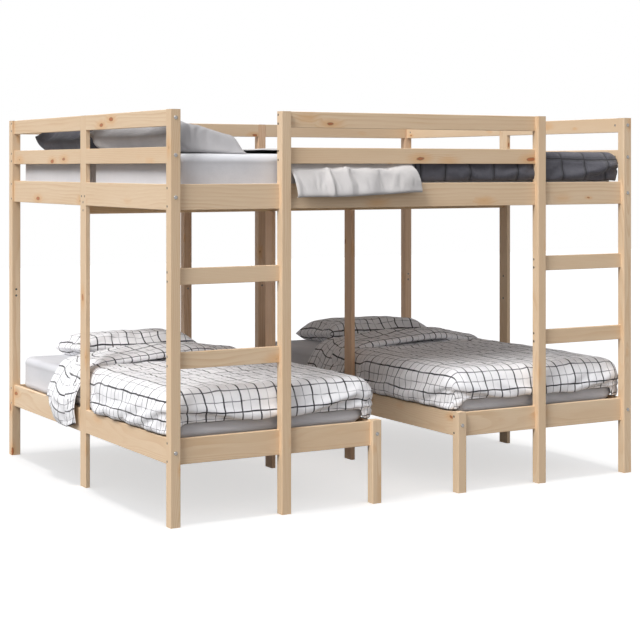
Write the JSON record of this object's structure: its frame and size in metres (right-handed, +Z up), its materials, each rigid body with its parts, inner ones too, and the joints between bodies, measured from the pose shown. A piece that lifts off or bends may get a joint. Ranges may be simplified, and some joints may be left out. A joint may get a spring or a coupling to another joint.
{
  "type": "bunk bed",
  "caption": "Pine bunk bed: two single beds below with an aisle between them, one wide deck above, ladder rungs at both front corners, bedding on every mattress.",
  "frame": {"origin": "middle of the front left post's foot, on the floor", "axes": "+Z up, +X to the right along the ladder front, +Y from the ladder front to the back"},
  "size_m": [2.0727, 1.6742, 1.441],
  "materials": {
    "pine": "clear satin lacquer",
    "pine_slat": "planed, bare",
    "steel": "zinc plated",
    "beech": "bare",
    "mattress_ticking": "matte",
    "check_cloth": "matte, dark grid",
    "charcoal_cloth": "matte",
    "grey_cloth": "matte"
  },
  "bodies": {
    "root": {"post_front_left_lower": "pine", "post_front_left_upper": "pine", "post_ladder_left_lower": "pine", "post_ladder_left_upper": "pine", "post_short_left": "pine", "post_short_right": "pine", "post_ladder_right_lower": "pine", "post_ladder_right_upper": "pine", "post_front_right_lower": "pine", "post_front_right_upper": "pine", "post_back_left_lower": "pine", "post_back_left_upper": "pine", "post_back_aisle_left_lower": "pine", "post_back_aisle_left_upper": "pine", "post_back_aisle_right_lower": "pine", "post_back_aisle_right_upper": "pine", "post_back_right_lower": "pine", "post_back_right_upper": "pine", "plank_left_lower": "pine", "plank_left_upper": "pine", "plank_right_lower": "pine", "plank_right_upper": "pine", "prop_left": "pine", "prop_right": "pine", "low_left_end_rails": "pine", "low_left_side_rails": "pine", "low_right_end_rails": "pine", "low_right_side_rails": "pine", "deck_front_rails": "pine", "deck_left_rails": "pine", "deck_right_rails": "pine", "deck_back_rails": "pine", "guard_front": "pine", "guard_left": "pine", "guard_right": "pine", "guard_back": "pine", "ladder_left_rungs": "pine", "ladder_right_rungs": "pine", "centre_beam": "pine", "slat_bearers": "pine", "low_left_slats": "pine_slat", "low_right_slats": "pine_slat", "deck_slats": "pine_slat", "wood_screws": "steel", "rail_bolts": "steel", "barrel_nuts": "steel", "dowels": "beech", "low_left_mattress": "mattress_ticking", "low_right_mattress": "mattress_ticking", "deck_front_mattress": "mattress_ticking", "deck_back_mattress": "mattress_ticking", "low_left_pillow": "check_cloth", "low_right_pillow": "check_cloth", "deck_left_pillow": "grey_cloth", "deck_back_pillow": "charcoal_cloth", "low_left_duvet": "check_cloth", "low_right_duvet": "check_cloth", "deck_duvet": "charcoal_cloth", "deck_turned_sheet": "check_cloth", "deck_back_duvet": "charcoal_cloth"}
  },
  "joints": []
}
